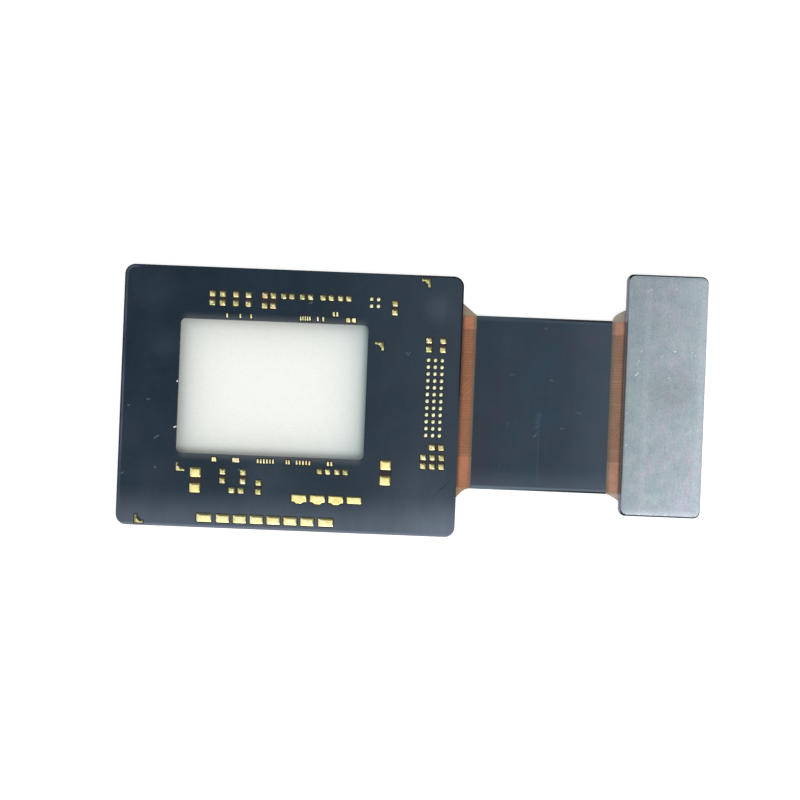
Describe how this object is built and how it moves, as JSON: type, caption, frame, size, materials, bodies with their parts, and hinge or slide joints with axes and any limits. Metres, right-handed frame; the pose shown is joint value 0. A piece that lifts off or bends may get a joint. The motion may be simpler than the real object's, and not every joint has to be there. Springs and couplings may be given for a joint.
{
  "type": "camera module circuit board",
  "caption": "Thin dark rigid-flex circuit board with a rectangular sensor window, gold solder lands, a short film-covered flex tail and a steel-backed connector end.",
  "frame": {"origin": "under the middle of the whole outline, on the back face", "axes": "+X along the flex tail from the sensor board to the connector board, +Z out of the front with the lands"},
  "size_m": [0.0256, 0.0118, 0.0007],
  "materials": {
    "polyimide": "amber film",
    "coverlay": "translucent amber film",
    "copper": "etched copper",
    "shield_film": "dark satin film",
    "laminate": "glass-filled resin",
    "solder_mask": "satin solder mask",
    "adhesive": "cured adhesive",
    "steel": "fine brushed stainless steel",
    "gold_plating": "gold-plated copper"
  },
  "bodies": {
    "root": {"flex_core": "polyimide", "front_traces": "copper", "back_ground_plane": "copper", "front_coverlay": "coverlay", "back_coverlay": "coverlay", "front_shield_film": "shield_film", "back_shield_film": "shield_film", "sensor_board_front_laminate": "laminate", "sensor_board_back_laminate": "laminate", "sensor_board_front_mask": "solder_mask", "sensor_board_back_mask": "solder_mask", "connector_board_front_laminate": "laminate", "connector_board_back_laminate": "laminate", "connector_board_front_mask": "solder_mask", "connector_board_back_mask": "solder_mask", "stiffener_adhesive": "adhesive", "stiffener": "steel", "actuator_lands": "gold_plating", "actuator_driver_lands": "gold_plating", "memory_chip_lands": "gold_plating", "supply_capacitor_lands": "gold_plating", "passive_lands": "gold_plating", "test_lands": "gold_plating", "bond_fingers": "gold_plating", "alignment_marks": "gold_plating", "connector_lands": "gold_plating"}
  },
  "joints": []
}
